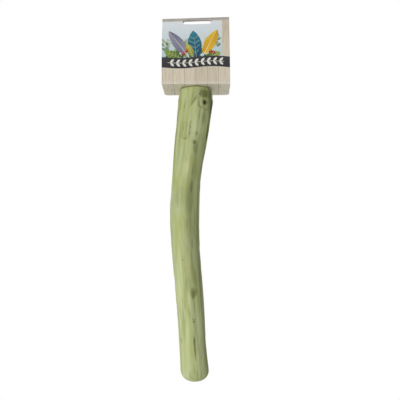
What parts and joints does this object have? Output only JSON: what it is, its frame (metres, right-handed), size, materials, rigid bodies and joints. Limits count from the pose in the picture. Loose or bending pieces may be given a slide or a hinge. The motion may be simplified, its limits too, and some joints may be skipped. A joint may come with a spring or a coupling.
{
  "type": "bird perch",
  "caption": "Peeled natural branch perch for a bird cage, with a hanger bolt, penny washers and a wing nut to clamp it to the bars, under a folded hang card.",
  "frame": {"origin": "centre of the branch's sawn end, on the bolt's axis, where the clamp seats", "axes": "+Z along the bolt away from the branch, and up as the packed perch hangs; the card's front faces -Y; +X to its right"},
  "size_m": [0.0694, 0.0439, 0.3774],
  "materials": {
    "peeled_wood": "peeled green wood, dry, faint sheen",
    "zinc_steel": "bright zinc plate",
    "printed_card": "printed paperboard, low gloss"
  },
  "bodies": {
    "perch": {"branch": "peeled_wood", "hanger_bolt": "zinc_steel", "inner_washer": "zinc_steel"},
    "card": {"hang_card": "printed_card"},
    "washer": {"outer_washer": "zinc_steel"},
    "nut": {"wing_nut": "zinc_steel"}
  },
  "joints": [
    {"name": "card_swivel", "type": "hinge", "parent": "perch", "child": "card", "pos_m": [0, 0, 0], "axis": [0, 0, 1], "continuous": true},
    {"name": "washer_travel", "type": "slide", "parent": "perch", "child": "washer", "axis": [0, 0, 1], "range_m": [0, 0.016]},
    {"name": "nut_turn", "type": "hinge", "parent": "washer", "child": "nut", "pos_m": [0, 0, 0.005], "axis": [0, 0, 1], "range_deg": [0, 5760]}
  ],
  "couplings": [
    {"joint": "washer_travel", "follows": "nut_turn", "m_per_rad": 0.00015915}
  ]
}
